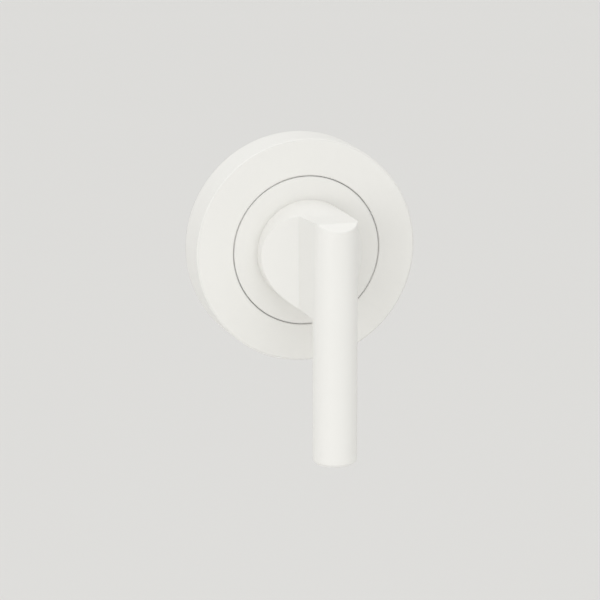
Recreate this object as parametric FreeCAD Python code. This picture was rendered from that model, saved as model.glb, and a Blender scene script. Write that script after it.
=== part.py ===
import FreeCAD, Part
import math
import os

# Bathroom thumb turn on a round rose, in millimetres.
# The origin is the centre of the rose's door face, on the spindle axis.
# +Y points into the door, -Y towards the hand, +Z up, +X to the hand's right.
# Depths named "depth" are measured from the rose's face towards the hand.

Vector = FreeCAD.Vector

# Rose cover
rose_radius = 26.0
rose_thickness = 9.8
cover_draft_deg = 2.0
cover_side_wall = 1.9
cover_face_wall = 1.6
cover_edge_chamfer = 0.3
ring_gap = 0.3

# Thumb turn: neck
neck_radius = 12.0
neck_foot_chamfer = 0.9
shoulder_start_depth = 4.1
shoulder_hollow_radius = 44.0
crease_ledge = 0.6
crease_depth = 12.65
crown_full_depth = 6.0
crown_steps = 6

# Thumb turn: bar
bar_radius = 5.0
bar_axis_depth = 22.3
bar_reach_below = 44.1
facet_start_beyond_axis = 2.2
facet_slope_deg = 28.0
bar_end_chamfer = 0.6
shoulder_edge_rounding = 0.2
facet_edge_rounding = 0.3

# Turn disc, flush with the rose face
disc_radius = 17.2
disc_thickness = 2.2

# Shank on the back of the neck
shank_radius = 5.5
shank_end_land = 0.65
shank_chamfer = 0.3

# Screws on one diagonal and dowels on the other join the disc to the neck
join_land = 0.3
disc_screw_radius = 1.25
disc_screw_head_radius = 2.35
disc_screw_length = 7.0
disc_dowel_radius = 1.0
disc_dowel_length = 5.0
disc_dowel_bury = 2.0
joining_clearance = 0.03
blind_hole_spare = 0.6

# Stop pin under the disc and its slot in the plate
stop_pin_radius = 1.5
stop_pin_orbit = 12.0
stop_pin_length = 4.0
stop_pin_bury = 1.4
stop_slot_clearance = 0.15
stop_pin_end_gap = 0.4
turn_limit_deg = 90.0
top_deg = 270.0

# Square spindle
spindle_side = 5.0
spindle_edge_chamfer = 0.4
spindle_clearance = 0.05
spindle_in_neck = 8.0
spindle_projection = 50.0
spindle_pin_radius = 1.0
spindle_pin_end_gap = 0.4
spindle_pin_y = -5.0
sleeve_side = 8.0
sleeve_start = 16.0
sleeve_length = 20.0
sleeve_edge_chamfer = 0.4

# Mounting plate behind the cover
plate_fit = 0.1
plate_floor = 4.5
plate_rim_wall = 3.0
plate_boss_wall = 0.95
plate_boss_gap = 0.5
pocket_hub_wall = 2.5
pocket_rim_wall = 2.6
pocket_depth = 2.6
pocket_start_deg = 6.0
pocket_sweep_deg = 42.0
lug_radius = 4.0
lug_length = 4.0
lug_chamfer = 0.4

# Through bolts
bolt_edge_distance = 5.0
bolt_radius = 2.0
bolt_thread_radius = 1.77
bolt_plain_beyond_lug = 0.5
bolt_head_radius = 3.8
bolt_length = 30.0
bolt_hole_clearance = 0.2
head_rim_height = 0.3
bolt_socket_af = 2.5
disc_socket_af = 1.5
socket_depth = 1.3
screw_tip_chamfer = 0.4

# Bearing bush
bush_wall = 2.0
bush_flange_width = 0.7
bush_flange = 1.0
bush_thrust_gap = 0.1
bush_running_clearance = 0.05
bush_seat_clearance = 0.02
bush_lead_chamfer = 0.3

# Retaining stack in the recess at the back of the plate
recess_radius = 10.0
recess_depth = 3.2
spring_strip = 0.3
spring_height = 0.7
washer_inner_clearance = 0.2
washer_recess_gap = 0.8
slip_gap = 0.05
thrust_washer_thickness = 0.5
circlip_thickness = 1.0
circlip_groove_depth = 0.25
circlip_groove_spare = 0.05
circlip_band = 1.8
circlip_ear_radius = 1.45
circlip_ear_offset = 1.4
circlip_ear_hole = 0.6
circlip_ear_deg = 20.0
circlip_opening_deg = 20.0

# Cover fixing
grub_radius = 1.5
grub_y = -2.6
grub_sunk = 0.25
grub_grip = 0.8
grub_clearance = 0.05
grub_point_taper = 0.5
grub_socket_af = 1.5
grub_socket_depth = 1.0
grip_ring_section = 0.8
grip_ring_clearance = 0.02

# Radii and widths that follow from others
cover_bore_radius = rose_radius - cover_side_wall
plate_radius = cover_bore_radius - plate_fit
pocket_outer_radius = plate_radius - pocket_rim_wall
pocket_inner_radius = recess_radius + pocket_hub_wall
plate_boss_radius = stop_pin_orbit + stop_pin_radius + stop_slot_clearance + plate_boss_wall
bolt_pitch = 2 * (plate_radius - bolt_edge_distance)
bolt_heights = (bolt_pitch / 2, -bolt_pitch / 2)
bush_radius = shank_radius + bush_wall
bush_flange_radius = bush_radius + bush_flange_width
washer_outer_radius = recess_radius - washer_recess_gap
circlip_ear_orbit = shank_radius + circlip_ear_offset
crease_half_width = bar_radius + crease_ledge
bar_top_z = math.sqrt(neck_radius ** 2 - bar_radius ** 2)
draft_slope = math.tan(math.radians(cover_draft_deg))
join_orbit = shank_radius + joining_clearance + disc_screw_head_radius + join_land
diagonal = join_orbit / math.sqrt(2)
disc_screw_spots = [(diagonal, diagonal), (-diagonal, -diagonal)]
disc_dowel_spots = [(-diagonal, diagonal), (diagonal, -diagonal)]

# Levels along Y that several pieces share
face_y = -rose_thickness
crown_flat_depth = bar_axis_depth - bar_radius
facet_start_depth = bar_axis_depth + facet_start_beyond_axis
disc_back_y = face_y + disc_thickness
boss_front_y = disc_back_y + plate_boss_gap
bush_front_y = disc_back_y + bush_thrust_gap
bush_seat_y = bush_front_y + bush_flange
recess_floor_y = -recess_depth
thrust_front_y = recess_floor_y + spring_height + slip_gap
circlip_front_y = thrust_front_y + thrust_washer_thickness
circlip_back_y = circlip_front_y + circlip_thickness
groove_front_y = circlip_front_y - circlip_groove_spare
groove_back_y = circlip_back_y + circlip_groove_spare
shank_end_y = groove_back_y + shank_end_land
plate_rim_front_y = face_y + cover_face_wall + plate_fit
grip_ring_back_y = plate_rim_front_y + grip_ring_section

# How far a cutter runs past what it cuts, and how closely an edge is matched
over = 1.0
match = 1e-3


def rod(radius, start, end, x=0.0, z=0.0):
    """A round bar along Y from start to end."""
    return Part.makeCylinder(radius, end - start, Vector(x, start, z), Vector(0, 1, 0))


def tube(outer, inner, start, end):
    """A round bar along Y with a hole through it."""
    return rod(outer, start, end).cut(rod(inner, start - over, end + over))


def square_bar(side, start, end, chamfer=0.0):
    """A square bar along Y, its four long edges broken by a chamfer."""
    half = side / 2
    bar = Part.makeBox(side, end - start, side, Vector(-half, start, -half))
    if chamfer == 0:
        return bar
    long_edges = [edge for edge in bar.Edges if edge.BoundBox.YLength > match]
    return bar.makeChamfer(chamfer, long_edges)


def hexagon(across_flats, depth):
    """A hexagonal bar that cuts a key socket, from y = -over to y = depth."""
    corner = across_flats / math.sqrt(3)
    points = []
    for side in range(6):
        turn = math.pi / 3 * side
        points.append(Vector(corner * math.cos(turn), -over, corner * math.sin(turn)))
    return Part.Face(Part.makePolygon(points + points[:1])).extrude(Vector(0, depth + over, 0))


def turned(profile, sweep_deg=360.0, first_deg=0.0):
    """A solid turned about the Y axis from (radius, y) corners, starting first_deg round from +X."""
    corners = [Vector(radius, y, 0) for radius, y in profile]
    face = Part.Face(Part.makePolygon(corners + corners[:1]))
    solid = face.revolve(Vector(0, 0, 0), Vector(0, 1, 0), sweep_deg)
    solid.rotate(Vector(0, 0, 0), Vector(0, 1, 0), first_deg)
    return solid


def rims(shape, radius, y):
    """The round edges of a shape that have this radius and lie at this level."""
    found = []
    for edge in shape.Edges:
        curve = edge.Curve
        if not isinstance(curve, Part.Circle):
            continue
        if abs(curve.Radius - radius) < match and abs(curve.Center.y - y) < match:
            found.append(edge)
    return found


def countersunk(radius, head_radius, length, clearance=0.0):
    """A flat-headed screw along +Y with its head's top at y = 0, swollen by a clearance."""
    stem_radius = radius + clearance
    rim_radius = head_radius + clearance
    rim = rod(rim_radius, 0, head_rim_height)
    cone_height = rim_radius - stem_radius
    cone_foot = Vector(0, head_rim_height, 0)
    cone = Part.makeCone(rim_radius, stem_radius, cone_height, cone_foot, Vector(0, 1, 0))
    stem = rod(stem_radius, head_rim_height + cone_height, length)
    return rim.fuse([cone, stem]).removeSplitter()


def key_screw(radius, head_radius, length, socket_af):
    """A flat-headed screw with a hexagonal key socket and a chamfered tip."""
    screw = countersunk(radius, head_radius, length)
    screw = screw.makeChamfer(screw_tip_chamfer, rims(screw, radius, length))
    return screw.cut(hexagon(socket_af, socket_depth))


def placed(solid, y, x=0.0, z=0.0, facing_hand=False):
    """Move a solid made along +Y to its level, turned end for end if it points at the hand."""
    if facing_hand:
        solid.rotate(Vector(0, 0, 0), Vector(0, 0, 1), 180)
    solid.translate(Vector(x, y, z))
    return solid


# Thumb turn casting: the plan outline is cut through a round neck and a vertical bar is added.

def plan_outline():
    """The turn seen from above: straight neck, hollow shoulders, sharp creases, flanks, round bar."""
    reach = math.hypot(crease_half_width, bar_axis_depth - crease_depth)
    aim = math.atan2(crease_half_width, bar_axis_depth - crease_depth)
    lean = aim - math.asin(bar_radius / reach)
    flank = math.sqrt(reach ** 2 - bar_radius ** 2)
    touch_x = crease_half_width - flank * math.sin(lean)
    touch_depth = crease_depth + flank * math.cos(lean)
    fall = neck_radius - crease_half_width
    climb = crease_depth - shoulder_start_depth
    chord = math.hypot(fall, climb)
    sag = shoulder_hollow_radius - math.sqrt(shoulder_hollow_radius ** 2 - chord ** 2 / 4)
    middle_x = (neck_radius + crease_half_width) / 2 - sag * climb / chord
    middle_depth = (shoulder_start_depth + crease_depth) / 2 - sag * fall / chord
    wide = neck_radius + over

    def at(x, depth):
        return Vector(x, face_y - depth, 0)

    nose_tip = at(0, bar_axis_depth + bar_radius)
    edges = [Part.Arc(at(touch_x, touch_depth), nose_tip, at(-touch_x, touch_depth))]
    for side in (1, -1):
        foot = at(side * wide, 0)
        ledge = at(side * wide, shoulder_start_depth)
        shoulder = at(side * neck_radius, shoulder_start_depth)
        hollow = at(side * middle_x, middle_depth)
        crease = at(side * crease_half_width, crease_depth)
        edges.append(Part.LineSegment(at(0, 0), foot))
        edges.append(Part.LineSegment(foot, ledge))
        edges.append(Part.LineSegment(ledge, shoulder))
        edges.append(Part.Arc(shoulder, hollow, crease))
        edges.append(Part.LineSegment(crease, at(side * touch_x, touch_depth)))
    return Part.Wire(Part.__sortEdges__([edge.toShape() for edge in edges]))


def crown_section(depth, rise):
    """The neck's round section at one depth, with its top arc between the bar's edges raised by rise."""
    y = face_y - depth
    left = Vector(-bar_radius, y, bar_top_z)
    right = Vector(bar_radius, y, bar_top_z)
    under = Part.Arc(right, Vector(0, y, -neck_radius), left).toShape()
    if rise == 0:
        top = Part.LineSegment(left, right).toShape()
    else:
        top = Part.Arc(left, Vector(0, y, bar_top_z + rise), right).toShape()
    return Part.Wire([top, under])


def crown_envelope():
    """A round neck whose crown sinks to a flat before it meets the bar."""
    full_rise = neck_radius - bar_top_z
    front_depth = bar_axis_depth + bar_radius + over
    span = crown_flat_depth - crown_full_depth
    neck = rod(neck_radius, face_y - crown_full_depth, face_y)
    sections = []
    for step in range(crown_steps):
        share = step / crown_steps
        rise = full_rise * (1 + math.cos(math.pi * share)) / 2
        sections.append(crown_section(crown_full_depth + span * share, rise))
    sections.append(crown_section(crown_flat_depth, 0))
    blend = Part.makeLoft(sections, True, False)
    front = Part.Face(crown_section(front_depth, 0))
    flat = front.extrude(Vector(0, front_depth - crown_flat_depth, 0))
    return neck.fuse([blend, flat]).removeSplitter()


def shoulder_edges(head):
    """The curved edges where the hollow shoulders leave the round neck."""
    found = []
    for edge in head.Edges:
        middle = edge.valueAt((edge.FirstParameter + edge.LastParameter) / 2)
        depth = face_y - middle.y
        on_neck = abs(math.hypot(middle.x, middle.z) - neck_radius) < match
        on_shoulder = shoulder_start_depth < depth < crease_depth
        if on_neck and on_shoulder and edge.BoundBox.YLength > match and abs(middle.x) > crease_half_width:
            found.append(edge)
    return found


def facet_edges(body):
    """The edges round the slanted facet at the bar's top."""
    front_y = face_y - facet_start_depth
    found = []
    for edge in body.Edges:
        box = edge.BoundBox
        if box.YMax < front_y + match and box.ZMin > 0 and box.XLength > bar_radius:
            found.append(edge)
    return found


def facet_wedge():
    """What the slanted facet takes off the front of the bar's top."""
    start_y = face_y - facet_start_depth
    run = bar_radius + over
    drop = run * math.tan(math.radians(facet_slope_deg))
    side = -neck_radius
    corners = [Vector(side, start_y, bar_top_z), Vector(side, start_y - run, bar_top_z - drop),
               Vector(side, start_y - run, bar_top_z + over), Vector(side, start_y, bar_top_z + over)]
    face = Part.Face(Part.makePolygon(corners + corners[:1]))
    return face.extrude(Vector(2 * neck_radius, 0, 0))


def thumb_turn():
    """Neck, shoulders and hanging bar in one casting, with the bored shank on its back."""
    deep = neck_radius + over
    prism = Part.Face(plan_outline()).extrude(Vector(0, 0, 2 * deep))
    prism.translate(Vector(0, 0, -deep))
    head = crown_envelope().common(prism)
    head = head.makeFillet(shoulder_edge_rounding, shoulder_edges(head))
    head = head.makeChamfer(neck_foot_chamfer, rims(head, neck_radius, face_y))
    bar_foot = Vector(0, face_y - bar_axis_depth, -bar_reach_below)
    bar = Part.makeCylinder(bar_radius, bar_top_z + bar_reach_below, bar_foot)
    bar = bar.makeChamfer(bar_end_chamfer, [edge for edge in bar.Edges if edge.BoundBox.ZMax < 0])
    body = head.fuse(bar).removeSplitter()
    body = body.cut(facet_wedge())
    body = body.makeFillet(facet_edge_rounding, facet_edges(body))
    body = body.fuse(shank())
    for x, z in disc_screw_spots:
        deepest = face_y - (disc_screw_length - disc_thickness) - blind_hole_spare
        body = body.cut(rod(disc_screw_radius + joining_clearance, deepest, face_y, x, z))
    for x, z in disc_dowel_spots:
        deepest = face_y - (disc_dowel_length - disc_dowel_bury) - blind_hole_spare
        body = body.cut(rod(disc_dowel_radius + joining_clearance, deepest, face_y, x, z))
    body = body.cut(square_bar(spindle_side + 2 * spindle_clearance,
                               face_y - spindle_in_neck - blind_hole_spare, shank_end_y + over))
    return body.cut(cross_rod(spindle_pin_radius + joining_clearance, shank_radius + over))


def shank():
    """The round stub that runs in the bush, grooved for the circlip."""
    stub = rod(shank_radius, face_y, shank_end_y)
    stub = stub.makeChamfer(shank_chamfer, rims(stub, shank_radius, shank_end_y))
    groove = tube(shank_radius + over, shank_radius - circlip_groove_depth, groove_front_y, groove_back_y)
    return stub.cut(groove)


def cross_rod(radius, half_length):
    """A round bar along X through the shank, at the spindle pin's level."""
    end = Vector(-half_length, spindle_pin_y, 0)
    return Part.makeCylinder(radius, 2 * half_length, end, Vector(1, 0, 0))


# Pieces that turn with the casting

def turn_disc():
    """The round disc under the neck, flush with the rose and drilled from its back."""
    disc = rod(disc_radius, face_y, disc_back_y)
    disc = disc.cut(rod(shank_radius + joining_clearance, face_y - over, disc_back_y + over))
    for x, z in disc_screw_spots:
        hole = countersunk(disc_screw_radius, disc_screw_head_radius, disc_screw_length, joining_clearance)
        disc = disc.cut(placed(hole, disc_back_y, x, z, True))
    for x, z in disc_dowel_spots:
        disc = disc.cut(rod(disc_dowel_radius + joining_clearance, face_y - over, disc_back_y + over, x, z))
    pin_hole = rod(stop_pin_radius + joining_clearance, disc_back_y - stop_pin_bury, disc_back_y + over,
                   0, stop_pin_orbit)
    return disc.cut(pin_hole)


def disc_screw(spot):
    """A flat-headed screw from the disc's back into the neck."""
    screw = key_screw(disc_screw_radius, disc_screw_head_radius, disc_screw_length, disc_socket_af)
    return placed(screw, disc_back_y, *spot, True)


def disc_dowel(spot):
    """A plain pin that keeps the disc and the neck from twisting on each other."""
    end = face_y + disc_dowel_bury
    return rod(disc_dowel_radius, end - disc_dowel_length, end, *spot)


def stop_pin():
    """The pin behind the disc that runs in the plate's curved slot."""
    start = disc_back_y - stop_pin_bury
    return rod(stop_pin_radius, start, start + stop_pin_length, 0, stop_pin_orbit)


def drive_spindle():
    """The square bar that turns the lock's follower, drilled for its pin."""
    bar = square_bar(spindle_side, face_y - spindle_in_neck, spindle_projection, spindle_edge_chamfer)
    return bar.cut(cross_rod(spindle_pin_radius + joining_clearance, spindle_side))


def spindle_pin():
    """The cross pin through shank and spindle, a little short of the bush's bore."""
    return cross_rod(spindle_pin_radius, shank_radius - spindle_pin_end_gap)


def spindle_sleeve():
    """A square sleeve that fills a larger lock follower."""
    end = sleeve_start + sleeve_length
    sleeve = square_bar(sleeve_side, sleeve_start, end, sleeve_edge_chamfer)
    return sleeve.cut(square_bar(spindle_side + 2 * spindle_clearance, sleeve_start - over, end + over))


def thrust_washer():
    """A flat washer between the spring washer and the circlip."""
    return tube(washer_outer_radius, shank_radius + washer_inner_clearance, thrust_front_y, circlip_front_y)


def retaining_circlip():
    """An open spring ring with two drilled ears, in the shank's groove."""
    inner = shank_radius - circlip_groove_depth
    far = recess_radius + over
    ring = tube(inner + circlip_band, inner, circlip_front_y, circlip_back_y)
    turn = math.radians(circlip_opening_deg / 2)
    corners = [Vector(0, circlip_front_y, 0),
               Vector(far * math.sin(turn), circlip_front_y, -far * math.cos(turn)),
               Vector(-far * math.sin(turn), circlip_front_y, -far * math.cos(turn))]
    opening = Part.Face(Part.makePolygon(corners + corners[:1])).extrude(Vector(0, circlip_thickness, 0))
    ears = []
    holes = []
    for side in (1, -1):
        ear_turn = math.radians(circlip_ear_deg) * side
        x = circlip_ear_orbit * math.sin(ear_turn)
        z = -circlip_ear_orbit * math.cos(ear_turn)
        ears.append(rod(circlip_ear_radius, circlip_front_y, circlip_back_y, x, z))
        holes.append(rod(circlip_ear_hole, circlip_front_y - over, circlip_back_y + over, x, z))
    ring = ring.fuse(ears).cut(opening)
    ring = ring.cut(rod(inner, circlip_front_y - over, circlip_back_y + over))
    return ring.cut(holes[0].fuse(holes[1])).removeSplitter()


# Pieces that stay on the door

def rose_cover():
    """A cast cap with a slight draft, open at its face for the disc."""
    eye_radius = disc_radius + ring_gap
    back_radius = rose_radius + rose_thickness * draft_slope
    inside_y = face_y + cover_face_wall
    cap = turned([(eye_radius, face_y), (rose_radius, face_y), (back_radius, 0), (cover_bore_radius, 0),
                  (cover_bore_radius, inside_y), (eye_radius, inside_y)])
    cap = cap.makeChamfer(cover_edge_chamfer, rims(cap, rose_radius, face_y))
    return cap.cut(grub_bar(grub_radius + grub_clearance, back_radius + over, plate_radius - grub_grip))


def grub_bar(radius, far, near):
    """A round bar below the axis, from near to far down the rose's radius at the grub screw's level."""
    return Part.makeCylinder(radius, far - near, Vector(0, grub_y, -far), Vector(0, 0, 1))


def cover_grub_screw():
    """A short headless screw through the cover's underside into the plate's edge."""
    outside = rose_radius + (grub_y - face_y) * draft_slope
    far = outside - grub_sunk
    near = plate_radius - grub_grip
    screw = grub_bar(grub_radius, far, near)
    tip = [edge for edge in screw.Edges if abs(edge.BoundBox.ZMin + near) < match]
    screw = screw.makeChamfer(grub_point_taper, tip)
    socket = hexagon(grub_socket_af, grub_socket_depth)
    socket.rotate(Vector(0, 0, 0), Vector(1, 0, 0), 90)
    socket.translate(Vector(0, grub_y, -far))
    return screw.cut(socket)


def cover_grip_ring():
    """A rubber ring of square section on the plate's stepped rim, which grips the cover's bore."""
    outer = cover_bore_radius - grip_ring_clearance
    return tube(outer, outer - grip_ring_section, plate_rim_front_y, grip_ring_back_y)


def mounting_plate():
    """A dished plate with a bearing boss, a retaining recess, locating lugs and cored pockets."""
    bore = bush_radius + bush_seat_clearance
    seat = bush_flange_radius + bush_seat_clearance
    rim_inner = plate_radius - plate_rim_wall
    ring_seat = cover_bore_radius - grip_ring_section - 2 * grip_ring_clearance
    step_y = grip_ring_back_y + grip_ring_clearance
    floor_y = -plate_floor
    plate = turned([(bore, bush_seat_y), (seat, bush_seat_y), (seat, boss_front_y),
                    (plate_boss_radius, boss_front_y), (plate_boss_radius, floor_y), (rim_inner, floor_y),
                    (rim_inner, plate_rim_front_y), (ring_seat, plate_rim_front_y), (ring_seat, step_y),
                    (plate_radius, step_y), (plate_radius, 0), (recess_radius, 0),
                    (recess_radius, recess_floor_y), (bore, recess_floor_y)])
    for z in bolt_heights:
        lug = rod(lug_radius, -over, lug_length, 0, z)
        plate = plate.fuse(lug.makeChamfer(lug_chamfer, rims(lug, lug_radius, lug_length)))
    for z in bolt_heights:
        hole = countersunk(bolt_radius, bolt_head_radius, bolt_length, bolt_hole_clearance)
        plate = plate.cut(placed(hole, floor_y, 0, z))
        head_room = rod(bolt_head_radius + bolt_hole_clearance, plate_rim_front_y - over, floor_y, 0, z)
        plate = plate.cut(head_room)
    for pocket in plate_pockets():
        plate = plate.cut(pocket)
    for cutter in stop_slot():
        plate = plate.cut(cutter)
    return plate.cut(grub_bar(grub_radius + grub_clearance, plate_radius + over, plate_radius - grub_grip))


def plate_pockets():
    """Four cored pockets in the plate's back, in pairs either side of a level rib."""
    section = [(pocket_inner_radius, -pocket_depth), (pocket_outer_radius, -pocket_depth),
               (pocket_outer_radius, over), (pocket_inner_radius, over)]
    starts = [pocket_start_deg, 180 - pocket_start_deg - pocket_sweep_deg]
    return [turned(section, pocket_sweep_deg, start + half) for start in starts for half in (0, 180)]


def stop_slot():
    """The curved slot that lets the stop pin swing to its limit each way from the top."""
    half_width = stop_pin_radius + stop_slot_clearance
    slot_floor_y = disc_back_y - stop_pin_bury + stop_pin_length + stop_pin_end_gap
    start_y = boss_front_y - over
    section = [(stop_pin_orbit - half_width, start_y), (stop_pin_orbit + half_width, start_y),
               (stop_pin_orbit + half_width, slot_floor_y), (stop_pin_orbit - half_width, slot_floor_y)]
    cutters = [turned(section, 2 * turn_limit_deg, top_deg - turn_limit_deg)]
    limit = math.radians(turn_limit_deg)
    for side in (1, -1):
        end_x = side * stop_pin_orbit * math.sin(limit)
        end_z = stop_pin_orbit * math.cos(limit)
        cutters.append(rod(half_width, start_y, slot_floor_y, end_x, end_z))
    return cutters


def bearing_bush():
    """A flanged plastic bush: the shank turns in it and the disc bears on its flange."""
    bore = shank_radius + bush_running_clearance
    bush = turned([(bore, bush_front_y), (bush_flange_radius, bush_front_y),
                   (bush_flange_radius, bush_seat_y), (bush_radius, bush_seat_y),
                   (bush_radius, recess_floor_y), (bore, recess_floor_y)])
    return bush.makeChamfer(bush_lead_chamfer, rims(bush, bush_radius, recess_floor_y))


def fixing_bolt(z):
    """A flat-headed bolt, plain as far as the lug's end and a little thinner along its thread."""
    bolt = key_screw(bolt_radius, bolt_head_radius, bolt_length, bolt_socket_af)
    thread_start = plate_floor + lug_length + bolt_plain_beyond_lug
    bolt = bolt.cut(tube(bolt_radius + over, bolt_thread_radius, thread_start, bolt_length + over))
    return placed(bolt, -plate_floor, 0, z)


def spring_washer():
    """A dished spring washer that bears on the recess floor and gives the turn its drag."""
    inner = shank_radius + washer_inner_clearance
    foot_y = recess_floor_y
    crown_y = foot_y + spring_height - spring_strip
    return turned([(inner, crown_y), (washer_outer_radius, foot_y),
                   (washer_outer_radius, foot_y + spring_strip), (inner, crown_y + spring_strip)])


# One file for each piece

pieces = {
    "rose_cover": rose_cover(),
    "mounting_plate": mounting_plate(),
    "bearing_bush": bearing_bush(),
    "fixing_bolt_upper": fixing_bolt(bolt_heights[0]),
    "fixing_bolt_lower": fixing_bolt(bolt_heights[1]),
    "cover_grub_screw": cover_grub_screw(),
    "cover_grip_ring": cover_grip_ring(),
    "spring_washer": spring_washer(),
    "thumb_turn": thumb_turn(),
    "turn_disc": turn_disc(),
    "disc_screw_upper": disc_screw(disc_screw_spots[0]),
    "disc_screw_lower": disc_screw(disc_screw_spots[1]),
    "disc_dowel_left": disc_dowel(disc_dowel_spots[0]),
    "disc_dowel_right": disc_dowel(disc_dowel_spots[1]),
    "stop_pin": stop_pin(),
    "drive_spindle": drive_spindle(),
    "spindle_pin": spindle_pin(),
    "spindle_sleeve": spindle_sleeve(),
    "thrust_washer": thrust_washer(),
    "retaining_circlip": retaining_circlip(),
}

os.makedirs("parts", exist_ok=True)
for name, solid in pieces.items():
    solid.exportStep("parts/" + name + ".step")
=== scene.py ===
import math

import bmesh
import bpy
from mathutils import Matrix, Vector


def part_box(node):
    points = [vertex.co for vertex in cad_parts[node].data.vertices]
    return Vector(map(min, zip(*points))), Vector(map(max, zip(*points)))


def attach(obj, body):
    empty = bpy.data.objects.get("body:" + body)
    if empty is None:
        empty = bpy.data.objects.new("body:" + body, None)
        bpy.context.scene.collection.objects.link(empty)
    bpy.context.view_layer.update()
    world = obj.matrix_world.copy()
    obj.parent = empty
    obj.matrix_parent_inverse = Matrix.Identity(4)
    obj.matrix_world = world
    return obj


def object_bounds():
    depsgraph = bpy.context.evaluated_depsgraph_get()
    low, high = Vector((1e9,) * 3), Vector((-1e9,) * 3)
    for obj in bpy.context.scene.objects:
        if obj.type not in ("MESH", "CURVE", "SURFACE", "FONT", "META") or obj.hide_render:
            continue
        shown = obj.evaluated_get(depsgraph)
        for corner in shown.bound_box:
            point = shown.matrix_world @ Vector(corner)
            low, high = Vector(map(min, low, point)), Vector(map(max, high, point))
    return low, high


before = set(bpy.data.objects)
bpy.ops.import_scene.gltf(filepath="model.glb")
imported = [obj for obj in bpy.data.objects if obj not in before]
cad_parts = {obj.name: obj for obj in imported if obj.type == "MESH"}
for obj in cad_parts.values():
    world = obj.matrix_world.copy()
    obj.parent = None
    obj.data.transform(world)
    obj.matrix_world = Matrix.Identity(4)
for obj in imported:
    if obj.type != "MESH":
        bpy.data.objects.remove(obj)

# Bathroom thumb turn on a round rose, in metres.
# The origin is the centre of the rose's door face, +Y into the door, -Y to the hand, +Z up.

mm = 0.001
cad_low, cad_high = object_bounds()
face_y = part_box("rose_cover")[0].y

# Camera: its place round the rose's face centre, and how far it looks past that centre
camera_distance = 0.494857
camera_azimuth_deg = 16.1952
camera_elevation_deg = 11.7010
camera_pan_deg = 0.1856
camera_tilt_deg = -1.3192
camera_roll_deg = -0.0956
camera_lens = 128.976
camera_sensor = 36.0
camera_near = 0.01

# Stage. The floor's own colour lights the lock, its seen colour is what the camera and mirrors see.
floor_drop = 0.35
floor_size = 30.0
floor_colour = (0.78, 0.775, 0.76)
floor_seen_colour = (0.715, 0.711, 0.698)
floor_drift_shade = 0.99
floor_drift_size = 0.6
floor_roughness = 0.9
backdrop_colour = (0.733, 0.730, 0.708)

# Light: the world's strength towards the low and the high side of each axis, and one lamp
world_colour = (1.0, 0.998, 0.99)
world_sides = {"X": (0.55, 0.34), "Y": (1.11, 0.70), "Z": (0.73, 1.36)}
key_place = (-0.67, -0.67, 0.10)
key_power = 1.27
key_size = 0.55

# Finishes. Colours are linear. A size is about how wide a pattern's lumps are, a depth is its
# relief, a band is the share of a noise that is stretched to go from 0 to 1, a softness is the
# radius that edges are shaded with, and an edge full is how far a normal turns on a full edge.
bevel_samples = 6

paint_colour = (0.843, 0.838, 0.810)
paint_roughness = (0.40, 0.48)
paint_ior = 1.48
paint_edge_full = 0.12
paint_cloud_shade = 0.985
paint_cloud_size = 14 * mm
paint_sheen_size = 3.5 * mm
paint_peel_size = 1.1 * mm
paint_peel_depth = 0.006 * mm
paint_grain_size = 0.16 * mm
paint_grain_depth = 0.0006 * mm
# Painted shade: the rose's and the disc's edges are mixed towards this darker colour, which dims
# their highlight
rose_edge_painted_shade = (0.785, 0.78, 0.755)
rose_edge_softness = 0.4 * mm
# Painted highlight: the turn's edges and the gap's paint film are mixed towards this lighter colour
turn_edge_painted_highlight = (0.852, 0.847, 0.82)
turn_edge_softness = 0.25 * mm
bare_colour = (0.50, 0.50, 0.505)
bare_roughness = 0.36

zinc_colour = (0.44, 0.445, 0.45)
zinc_dark_colour = (0.37, 0.375, 0.385)
zinc_roughness = (0.42, 0.62)
zinc_flow_size = 5 * mm
zinc_flow_band = (0.3, 0.7)
zinc_flow_stretch = (1.0, 1.0, 2.6)
zinc_skin_size = 0.25 * mm
zinc_skin_depth = 0.012 * mm
zinc_edge_softness = 0.2 * mm

steel_colour = (0.66, 0.665, 0.67)
steel_tint_colour = (0.62, 0.61, 0.57)
steel_tint_size = 6 * mm
steel_tint_band = (0.35, 0.65)
steel_roughness = (0.24, 0.38)
steel_mark_size = 0.3 * mm
steel_mark_depth = 0.003 * mm
steel_edge_softness = 0.1 * mm
turned_grain = (1.0, 6.0, 1.0)
drawn_grain = (6.0, 0.25, 6.0)
# Painted shade in the bolts' thread grooves, darkest from the pitch line down to the root
groove_painted_shade = (0.23, 0.227, 0.217)

spring_colour = (0.085, 0.085, 0.09)
spring_worn_colour = (0.16, 0.155, 0.15)
spring_worn_size = 1.2 * mm
spring_metallic = 0.85
spring_roughness = (0.38, 0.55)
spring_grain_size = 0.2 * mm
spring_grain_depth = 0.004 * mm
spring_edge_full = 0.1
spring_edge_softness = 0.12 * mm

nylon_colour = (0.74, 0.72, 0.64)
nylon_dark_colour = (0.68, 0.66, 0.58)
nylon_cloud_size = 3 * mm
nylon_roughness = (0.42, 0.55)
nylon_ior = 1.53
nylon_grain_size = 0.3 * mm
nylon_grain_depth = 0.003 * mm
nylon_edge_softness = 0.15 * mm

rubber_colour = (0.022, 0.022, 0.023)
rubber_bloom_colour = (0.045, 0.045, 0.046)
rubber_bloom_size = 2 * mm
rubber_bloom_band = (0.45, 0.7)
rubber_roughness = (0.6, 0.8)
rubber_grain_size = 0.2 * mm
rubber_grain_depth = 0.006 * mm

# The paint's film on the two walls of the gap round the disc
disc_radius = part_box("turn_disc")[1].x
disc_gap = 0.3 * mm
rose_wall = 1.6 * mm
film = 0.08 * mm
film_corner_steps = 4
film_steps = 256

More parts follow.
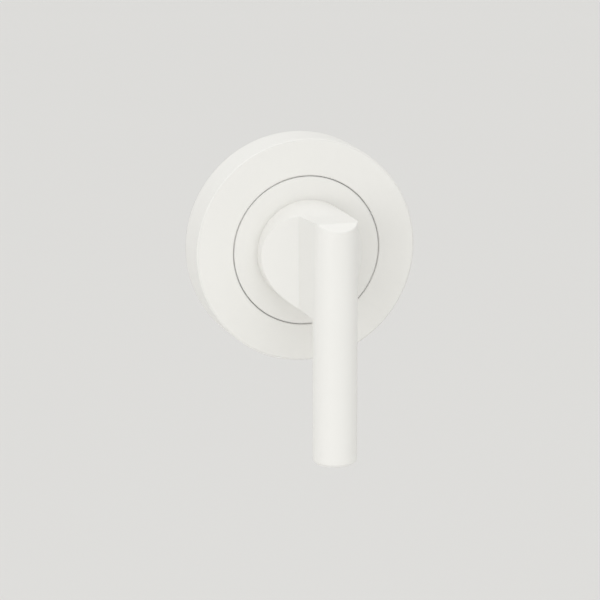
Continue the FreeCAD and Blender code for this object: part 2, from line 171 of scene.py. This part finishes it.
# M4 coarse thread on the fixing bolts
thread_pitch = 0.7 * mm
thread_pitch_radius = 1.77 * mm
thread_root = 1.7 * mm
thread_crest = 1.97 * mm
thread_flank_deg = 30
thread_flank = math.tan(math.radians(thread_flank_deg))
thread_inset = 0.5 * mm
thread_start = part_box("mounting_plate")[1].y + thread_inset
thread_steps_per_turn = 32
thread_fade_turns = 0.75
bolt_height = sum(corner.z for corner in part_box("fixing_bolt_upper")) / 2


class Graph:
    """A node tree, with short calls to add nodes and join them."""

    def __init__(self, tree):
        self.tree = tree

    def add(self, kind, settings=None, **inputs):
        """A node of this kind, with its settings and its inputs, each a value or an output."""
        node = self.tree.nodes.new(kind)
        for key, value in (settings or {}).items():
            setattr(node, key, value)
        for key, value in inputs.items():
            self.feed(node.inputs[key.replace("_", " ")], value)
        return node

    def feed(self, socket, value):
        """Give an input a value, or join it to an output."""
        if isinstance(value, bpy.types.NodeSocket):
            self.tree.links.new(value, socket)
        else:
            socket.default_value = value

    def seen(self):
        """1 on rays from the camera, in reflections and through glass, 0 on rays of soft light."""
        rays = self.add("ShaderNodeLightPath").outputs
        mirrored = self.maths("MAXIMUM", rays["Is Glossy Ray"], rays["Is Transmission Ray"])
        return self.maths("MAXIMUM", rays["Is Camera Ray"], mirrored)

    def split(self, vector):
        """The X, Y and Z of a vector."""
        return self.add("ShaderNodeSeparateXYZ", Vector=vector).outputs

    def maths(self, operation, first, second=0.0):
        """The result of an operation on one or two numbers."""
        node = self.add("ShaderNodeMath", {"operation": operation})
        self.feed(node.inputs[0], first)
        self.feed(node.inputs[1], second)
        return node.outputs["Value"]


class Surface(Graph):
    """A new material's node tree."""

    def __init__(self, name):
        self.material = bpy.data.materials.new(name)
        self.material.use_nodes = True
        super().__init__(self.material.node_tree)
        self.shader = self.tree.nodes["Principled BSDF"]

    def place(self):
        """The point on the surface, in the object's own metres."""
        return self.add("ShaderNodeTexCoord").outputs["Object"]

    def stretch(self, place, scale):
        """The place scaled along each axis: a larger scale makes a pattern finer that way."""
        return self.add("ShaderNodeMapping", Vector=place, Scale=scale).outputs["Vector"]

    def noise(self, place, size, detail=3.0, roughness=0.5):
        """Noise whose lumps are about this size across."""
        node = self.add("ShaderNodeTexNoise", Vector=place, Scale=1 / size, Detail=detail,
                        Roughness=roughness)
        return node.outputs["Fac"]

    def between(self, factor, low, high):
        """A number that goes from low to high as the factor goes from 0 to 1."""
        node = self.add("ShaderNodeMapRange", Value=factor)
        node.inputs["To Min"].default_value = low
        node.inputs["To Max"].default_value = high
        return node.outputs["Result"]

    def sharpen(self, factor, low, high):
        """The factor stretched so that low becomes 0 and high becomes 1."""
        node = self.add("ShaderNodeMapRange", Value=factor)
        node.inputs["From Min"].default_value = low
        node.inputs["From Max"].default_value = high
        return node.outputs["Result"]

    def mix(self, factor, low, high):
        """A colour between two colours."""
        node = self.add("ShaderNodeMix", {"data_type": "RGBA"})
        self.feed(node.inputs["Factor"], factor)
        for name, colour in ("A", low), ("B", high):
            linked = isinstance(colour, bpy.types.NodeSocket)
            self.feed(node.inputs[name], colour if linked else (*colour, 1.0))
        return [socket for socket in node.outputs if socket.type == "RGBA"][0]

    def soft_normal(self, radius):
        """The surface normal with each edge rounded over by this radius."""
        node = self.add("ShaderNodeBevel", {"samples": bevel_samples}, Radius=radius)
        return node.outputs["Normal"]

    def edge_mask(self, normal):
        """How far this soft normal turns from the true one: 0 on open faces."""
        true_normal = self.add("ShaderNodeNewGeometry").outputs["Normal"]
        node = self.add("ShaderNodeVectorMath", {"operation": "DOT_PRODUCT"})
        self.feed(node.inputs[0], normal)
        self.feed(node.inputs[1], true_normal)
        return self.maths("SUBTRACT", 1.0, node.outputs["Value"])

    def bump(self, height, depth, normal=None):
        """Relief of this depth over the normal."""
        node = self.add("ShaderNodeBump", Height=height, Distance=depth)
        if normal is not None:
            self.feed(node.inputs["Normal"], normal)
        return node.outputs["Normal"]

    def finish(self, **inputs):
        """Feed the surface shader, and return the material."""
        for key, value in inputs.items():
            socket = self.shader.inputs[key.replace("_", " ")]
            if not isinstance(value, bpy.types.NodeSocket) and socket.type == "RGBA":
                value = (*value, 1.0)
            self.feed(socket, value)
        return self.material


# Materials

def satin_paint(name, edge_softness, edge_painted_light, bare_from=None):
    """Warm white stoved paint: a faint orange peel, a soft sheen, and rounded edges toned with
    painted light.

    Where bare_from is given, what lies deeper than that level is bare turned metal."""
    graph = Surface(name)
    place = graph.place()
    soft = graph.soft_normal(edge_softness)
    edge = graph.sharpen(graph.edge_mask(soft), 0.0, paint_edge_full)
    cloud = graph.noise(place, paint_cloud_size, detail=2.0)
    sheen = graph.noise(place, paint_sheen_size, detail=4.0)
    peel = graph.noise(place, paint_peel_size, detail=2.0, roughness=0.4)
    grain = graph.noise(place, paint_grain_size, detail=2.0, roughness=0.6)
    clouded = [value * paint_cloud_shade for value in paint_colour]
    colour = graph.mix(cloud, paint_colour, clouded)
    # Edges are mixed towards the edge colour: a painted highlight where it is lighter than the
    # paint, painted shade where it is darker
    colour = graph.mix(edge, colour, edge_painted_light)
    roughness = graph.between(sheen, *paint_roughness)
    relief = graph.bump(grain, paint_grain_depth, graph.bump(peel, paint_peel_depth, soft))
    bare = 0.0
    if bare_from is not None:
        bare = graph.maths("GREATER_THAN", graph.split(place)["Y"], bare_from)
        colour = graph.mix(bare, colour, bare_colour)
        change = graph.maths("MULTIPLY", bare, bare_roughness - paint_roughness[0])
        roughness = graph.maths("ADD", roughness, change)
    return graph.finish(Base_Color=colour, Roughness=roughness, Normal=relief, IOR=paint_ior,
                        Metallic=bare)


def cast_zinc():
    """Die-cast zinc: dull grey, faintly mottled where the metal flowed, with a fine skin."""
    graph = Surface("die_cast_zinc")
    place = graph.place()
    soft = graph.soft_normal(zinc_edge_softness)
    stretched = graph.stretch(place, zinc_flow_stretch)
    flow = graph.noise(stretched, zinc_flow_size, detail=5.0, roughness=0.6)
    skin = graph.noise(place, zinc_skin_size, roughness=0.6)
    colour = graph.mix(graph.sharpen(flow, *zinc_flow_band), zinc_dark_colour, zinc_colour)
    roughness = graph.between(skin, *zinc_roughness)
    relief = graph.bump(skin, zinc_skin_depth, soft)
    return graph.finish(Base_Color=colour, Metallic=1.0, Roughness=roughness, Normal=relief)


def plated_steel(name, grain, threaded=False):
    """Bright zinc plate over steel, with fine tool marks stretched by the grain's three scales.

    A threaded bolt's grooves are darkened towards the root with painted shade."""
    graph = Surface(name)
    place = graph.place()
    soft = graph.soft_normal(steel_edge_softness)
    marks = graph.noise(graph.stretch(place, grain), steel_mark_size, roughness=0.6)
    tint = graph.sharpen(graph.noise(place, steel_tint_size), *steel_tint_band)
    colour = graph.mix(tint, steel_colour, steel_tint_colour)
    if threaded:
        # Painted shade: deeper in the thread's grooves the colour goes darker
        colour = graph.mix(groove_depth(graph, place), colour, groove_painted_shade)
    roughness = graph.between(marks, *steel_roughness)
    relief = graph.bump(marks, steel_mark_depth, soft)
    return graph.finish(Base_Color=colour, Metallic=1.0, Roughness=roughness, Normal=relief)


def groove_depth(graph, place):
    """How deep in a bolt's thread a point lies, from 0 at the crest to 1 at the pitch line.

    It is 0 on the bolt's tip and ahead of the thread."""
    spot = graph.split(place)
    above = graph.maths("SUBTRACT", graph.maths("ABSOLUTE", spot["Z"]), bolt_height)
    squares = graph.maths("ADD", graph.maths("MULTIPLY", above, above),
                          graph.maths("MULTIPLY", spot["X"], spot["X"]))
    radius = graph.maths("SQRT", squares)
    sunk = graph.sharpen(radius, thread_crest, thread_pitch_radius)
    sunk = graph.maths("MULTIPLY", sunk, graph.maths("GREATER_THAN", radius, thread_root))
    return graph.maths("MULTIPLY", sunk, graph.maths("GREATER_THAN", spot["Y"], thread_start))


def spring_steel():
    """Dark phosphated spring steel, rubbed a little brighter on its edges."""
    graph = Surface("phosphated_spring_steel")
    place = graph.place()
    soft = graph.soft_normal(spring_edge_softness)
    edge = graph.sharpen(graph.edge_mask(soft), 0.0, spring_edge_full)
    grain = graph.noise(place, spring_grain_size, detail=4.0, roughness=0.6)
    rubbed = graph.maths("MULTIPLY", edge, graph.noise(place, spring_worn_size))
    colour = graph.mix(rubbed, spring_colour, spring_worn_colour)
    roughness = graph.between(grain, *spring_roughness)
    relief = graph.bump(grain, spring_grain_depth, soft)
    return graph.finish(Base_Color=colour, Metallic=spring_metallic, Roughness=roughness,
                        Normal=relief)


def bush_nylon():
    """Natural nylon: off-white, slightly waxy."""
    graph = Surface("natural_nylon")
    place = graph.place()
    soft = graph.soft_normal(nylon_edge_softness)
    cloud = graph.noise(place, nylon_cloud_size)
    grain = graph.noise(place, nylon_grain_size, detail=2.0)
    colour = graph.mix(cloud, nylon_colour, nylon_dark_colour)
    roughness = graph.between(grain, *nylon_roughness)
    relief = graph.bump(grain, nylon_grain_depth, soft)
    return graph.finish(Base_Color=colour, Roughness=roughness, Normal=relief, IOR=nylon_ior)


def ring_rubber():
    """Black rubber with a faint bloom."""
    graph = Surface("black_rubber")
    place = graph.place()
    bloom = graph.noise(place, rubber_bloom_size, detail=4.0)
    grain = graph.noise(place, rubber_grain_size)
    colour = graph.mix(graph.sharpen(bloom, *rubber_bloom_band), rubber_colour, rubber_bloom_colour)
    roughness = graph.between(grain, *rubber_roughness)
    relief = graph.bump(grain, rubber_grain_depth)
    return graph.finish(Base_Color=colour, Roughness=roughness, Normal=relief)


def floor_paint():
    """Matt pale grey, a little greyer to the camera and in reflections than in its soft light."""
    graph = Surface("floor_paint")
    drift = graph.noise(graph.place(), floor_drift_size, detail=2.0)
    shade = [value * floor_drift_shade for value in floor_seen_colour]
    seen_colour = graph.mix(drift, floor_seen_colour, shade)
    colour = graph.mix(graph.seen(), floor_colour, seen_colour)
    return graph.finish(Base_Color=colour, Roughness=floor_roughness)


def dress(names, material):
    """Give CAD nodes this material."""
    for name in names:
        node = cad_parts[name]
        for slot in node.material_slots:
            slot.material = material


# Threads on the fixing bolts

def ridge_ring(axis, y, turn, height):
    """The four corners of the ridge's section at this turn, at a share of its full height."""
    crest = thread_root + (thread_crest - thread_root) * height
    half_root = thread_pitch / 4 + (thread_pitch_radius - thread_root) * thread_flank
    half_crest = thread_pitch / 4 + (thread_pitch_radius - crest) * thread_flank
    outward = Vector((math.cos(turn), 0, math.sin(turn)))
    section = [(thread_root, -half_root), (crest, -half_crest),
               (crest, half_crest), (thread_root, half_root)]
    return [axis + outward * radius + Vector((0, y + along, 0)) for radius, along in section]


def make_thread(name, bolt):
    """A rolled M4 thread: a helical ridge on the bolt's thinner length that fades at both ends."""
    low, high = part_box(bolt)
    axis = Vector(((low.x + high.x) / 2, 0, (low.z + high.z) / 2))
    length = high.y - thread_inset - thread_start
    steps = round(length / thread_pitch * thread_steps_per_turn)
    fade_steps = thread_fade_turns * thread_steps_per_turn
    mesh = bmesh.new()
    previous = None
    for step in range(steps + 1):
        height = min(1.0, step / fade_steps, (steps - step) / fade_steps)
        turn = math.tau * step / thread_steps_per_turn
        points = ridge_ring(axis, thread_start + length * step / steps, turn, height)
        ring = [mesh.verts.new(point) for point in points]
        if previous:
            for side in range(len(ring)):
                after = (side + 1) % len(ring)
                mesh.faces.new((previous[side], previous[after], ring[after], ring[side]))
        else:
            mesh.faces.new(ring)
        previous = ring
    mesh.faces.new(previous)
    bmesh.ops.recalc_face_normals(mesh, faces=mesh.faces)
    data = bpy.data.meshes.new(name)
    mesh.to_mesh(data)
    mesh.free()
    thread = bpy.data.objects.new(name, data)
    bpy.context.scene.collection.objects.link(thread)
    data.materials.append(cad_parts[bolt].material_slots[0].material)
    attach(thread, "rose")


# Paint film in the gap

def make_film(name, body, paint, wall_radius, back, side):
    """A ring of paint on one wall of the gap, from the rose's face back to this depth.

    Its front corner is round. side is 1 on the disc's wall and -1 on the rose's."""
    profile = [(wall_radius, face_y)]
    for step in range(film_corner_steps + 1):
        turn = math.pi / 2 * step / film_corner_steps
        radius = wall_radius + side * film * math.sin(turn)
        profile.append((radius, face_y + film * (1 - math.cos(turn))))
    profile += [(wall_radius + side * film, back), (wall_radius, back)]
    points = []
    for step in range(film_steps):
        turn = math.tau * step / film_steps
        across, up = math.cos(turn), math.sin(turn)
        points.extend((radius * across, y, radius * up) for radius, y in profile)
    count = len(profile)
    faces = []
    for step in range(film_steps):
        near, far = step * count, (step + 1) % film_steps * count
        for spot in range(count):
            after = (spot + 1) % count
            faces.append((near + spot, near + after, far + after, far + spot))
    data = bpy.data.meshes.new(name)
    data.from_pydata(points, [], faces)
    mesh = bmesh.new()
    mesh.from_mesh(data)
    bmesh.ops.recalc_face_normals(mesh, faces=mesh.faces)
    mesh.to_mesh(data)
    mesh.free()
    data.shade_smooth()
    ring = bpy.data.objects.new(name, data)
    bpy.context.scene.collection.objects.link(ring)
    data.materials.append(paint)
    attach(ring, body)


# Stage, light and camera

def make_floor():
    """A plain pale floor well below the lock, which hangs where its door would hold it."""
    half = floor_size / 2
    level = cad_low.z - floor_drop
    corners = [(-half, -half, level), (half, -half, level),
               (half, half, level), (-half, half, level)]
    mesh = bpy.data.meshes.new("floor")
    mesh.from_pydata(corners, [], [(0, 1, 2, 3)])
    mesh.materials.append(floor_paint())
    floor = bpy.data.objects.new("floor", mesh)
    bpy.context.scene.collection.objects.link(floor)


def make_world():
    """Soft light that turns smoothly from side to side, behind a pale backdrop.

    Only the camera and reflections see the backdrop."""
    world = bpy.data.worlds.new("studio")
    bpy.context.scene.world = world
    world.use_nodes = True
    graph = Graph(world.node_tree)
    towards = graph.split(graph.add("ShaderNodeTexCoord").outputs["Generated"])
    strength = 0.0
    for axis, (low_side, high_side) in world_sides.items():
        high = graph.maths("GREATER_THAN", towards[axis], 0.0)
        side = graph.maths("ADD", graph.maths("MULTIPLY", high, high_side - low_side), low_side)
        share = graph.maths("MULTIPLY", towards[axis], towards[axis])
        strength = graph.maths("ADD", strength, graph.maths("MULTIPLY", side, share))
    light = graph.add("ShaderNodeBackground", Color=(*world_colour, 1.0), Strength=strength)
    backdrop = graph.add("ShaderNodeBackground", Color=(*backdrop_colour, 1.0))
    blend = graph.add("ShaderNodeMixShader", Fac=graph.seen())
    graph.feed(blend.inputs[1], light.outputs["Background"])
    graph.feed(blend.inputs[2], backdrop.outputs["Background"])
    graph.feed(world.node_tree.nodes["World Output"].inputs["Surface"], blend.outputs["Shader"])


def make_key():
    """A large soft round lamp at the left front, facing the lock."""
    light = bpy.data.lights.new("key", "AREA")
    light.shape = "DISK"
    light.size = key_size
    light.energy = key_power
    lamp = bpy.data.objects.new("key", light)
    lamp.location = key_place
    lamp.rotation_euler = (-Vector(key_place)).to_track_quat("-Z", "Y").to_euler()
    bpy.context.scene.collection.objects.link(lamp)


def make_camera():
    """The photo's viewpoint: round and above the rose's face centre, panned, tilted and rolled."""
    azimuth = math.radians(camera_azimuth_deg)
    elevation = math.radians(camera_elevation_deg)
    away = Vector((-math.sin(azimuth) * math.cos(elevation),
                   -math.cos(azimuth) * math.cos(elevation), math.sin(elevation)))
    right = (-away).cross(Vector((0, 0, 1))).normalized()
    up = right.cross(-away)
    turn = Matrix((right, up, away)).transposed()
    turn = turn @ Matrix.Rotation(math.radians(camera_pan_deg), 3, "Y")
    turn = turn @ Matrix.Rotation(math.radians(camera_tilt_deg), 3, "X")
    turn = turn @ Matrix.Rotation(math.radians(camera_roll_deg), 3, "Z")
    lens = bpy.data.cameras.new("camera")
    lens.lens = camera_lens
    lens.sensor_width = camera_sensor
    lens.clip_start = camera_near
    camera = bpy.data.objects.new("camera", lens)
    place = Vector((0, face_y, 0)) + away * camera_distance
    camera.matrix_world = Matrix.Translation(place) @ turn.to_4x4()
    bpy.context.scene.collection.objects.link(camera)
    bpy.context.scene.camera = camera


bpy.context.scene.view_settings.view_transform = "Standard"

rose_paint = satin_paint("white_paint_crisp_edges", rose_edge_softness, rose_edge_painted_shade)
turn_paint = satin_paint("white_paint_soft_edges", turn_edge_softness, turn_edge_painted_highlight, face_y)
film_paint = satin_paint("white_paint_film", film / 2, turn_edge_painted_highlight)
turned_steel = plated_steel("plated_turned_steel", turned_grain)
drawn_steel = plated_steel("plated_drawn_steel", drawn_grain)
threaded_steel = plated_steel("plated_threaded_steel", turned_grain, True)

dress(["rose_cover", "turn_disc"], rose_paint)
dress(["thumb_turn"], turn_paint)
dress(["mounting_plate"], cast_zinc())
dress(["fixing_bolt_upper", "fixing_bolt_lower"], threaded_steel)
dress(["cover_grub_screw", "disc_screw_upper", "disc_screw_lower", "disc_dowel_left",
       "disc_dowel_right", "stop_pin", "spindle_pin", "thrust_washer"], turned_steel)
dress(["drive_spindle", "spindle_sleeve"], drawn_steel)
dress(["spring_washer", "retaining_circlip"], spring_steel())
dress(["bearing_bush"], bush_nylon())
dress(["cover_grip_ring"], ring_rubber())

disc_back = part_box("turn_disc")[1].y
make_film("disc_paint_film", "turn", film_paint, disc_radius, disc_back, 1)
make_film("rose_paint_film", "rose", film_paint, disc_radius + disc_gap, face_y + rose_wall, -1)
make_thread("bolt_thread_upper", "fixing_bolt_upper")
make_thread("bolt_thread_lower", "fixing_bolt_lower")

make_floor()
make_world()
make_key()
make_camera()
